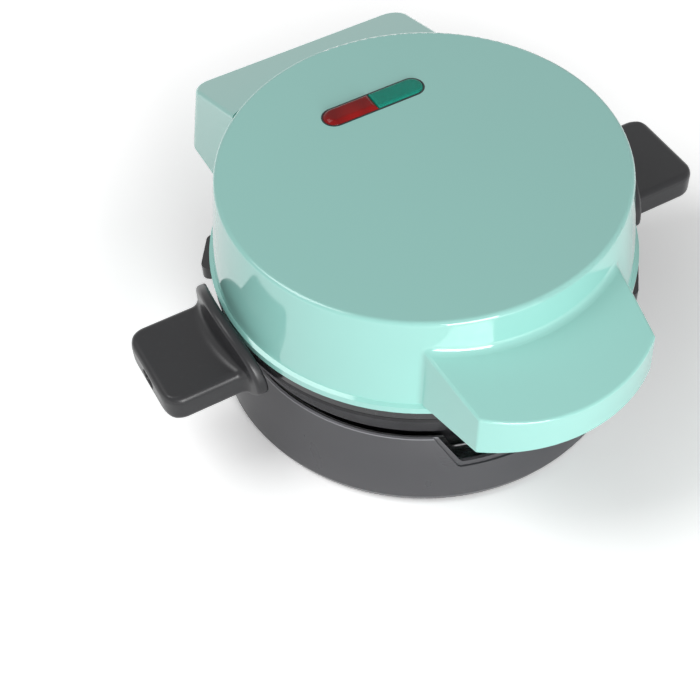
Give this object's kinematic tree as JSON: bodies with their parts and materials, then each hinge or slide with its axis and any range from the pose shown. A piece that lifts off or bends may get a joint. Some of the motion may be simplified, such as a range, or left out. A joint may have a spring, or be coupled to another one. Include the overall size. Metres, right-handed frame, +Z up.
{
  "type": "stuffed waffle maker",
  "caption": "Round stuffed waffle maker: hinged lid over deep grid plates, side handles, standing in an open bowl base.",
  "frame": {"origin": "middle of the footprint, on the table", "axes": "+Z up, front handle towards -Y, hinge towards +Y, side handles along X"},
  "size_m": [0.328, 0.298, 0.139],
  "materials": {
    "mint_gloss": "gloss",
    "dark_plastic": "satin",
    "dark_gloss": "gloss",
    "grey_plastic": "satin",
    "coated_plate": "non-stick coat",
    "bright_steel": "bright",
    "bright_aluminium": "bright",
    "heater_steel": "heat-dulled",
    "wool": "matte",
    "red_clear": "gloss",
    "green_clear": "gloss",
    "rubber_black": "matte",
    "board_green": "matte",
    "lamp_glass": "clear",
    "white_ceramic": "matte"
  },
  "bodies": {
    "base": {"base_bowl": "grey_plastic", "base_heat_dish": "bright_aluminium", "base_cover_plate": "dark_plastic", "base_foot_rear_right": "rubber_black", "base_pad_rear_right": "rubber_black", "base_foot_rear_left": "rubber_black", "base_pad_rear_left": "rubber_black", "base_foot_front_left": "rubber_black", "base_pad_front_left": "rubber_black", "base_foot_front_right": "rubber_black", "base_pad_front_right": "rubber_black"},
    "cooking_unit": {"lower_housing": "dark_gloss", "lower_plate": "coated_plate", "lower_heater": "heater_steel", "lower_reflector": "bright_aluminium", "thermostat": "bright_steel", "thermal_fuse": "white_ceramic", "terminal_block": "white_ceramic", "lower_plate_screws": "bright_steel", "side_handle_left": "dark_plastic", "side_handle_right": "dark_plastic", "side_handle_tongue_left": "bright_steel", "side_handle_tongue_right": "bright_steel", "side_handle_screw_left": "bright_steel", "side_handle_screw_right": "bright_steel", "hinge_bracket": "dark_plastic", "hinge_pin": "bright_steel", "hinge_bracket_screws": "bright_steel"},
    "lid": {"lid_shell": "mint_gloss", "front_handle_cover": "mint_gloss", "lid_inner_ring": "dark_gloss", "upper_plate": "coated_plate", "upper_heater": "heater_steel", "upper_reflector": "bright_aluminium", "lid_insulation": "wool", "indicator_frame": "dark_plastic", "red_lens": "red_clear", "green_lens": "green_clear", "lamp_board": "board_green", "red_lamp": "lamp_glass", "green_lamp": "lamp_glass", "lid_hinge_ear_left": "dark_plastic", "lid_hinge_ear_right": "dark_plastic", "upper_plate_screws": "bright_steel"}
  },
  "joints": [
    {"name": "unit_lift", "type": "slide", "parent": "base", "child": "cooking_unit", "axis": [0, 0, 1], "range_m": [0, 0.11]},
    {"name": "lid_hinge", "type": "hinge", "parent": "cooking_unit", "child": "lid", "pos_m": [0, 0.133, 0.075], "axis": [-1, 0, 0], "range_deg": [0, 100]}
  ]
}
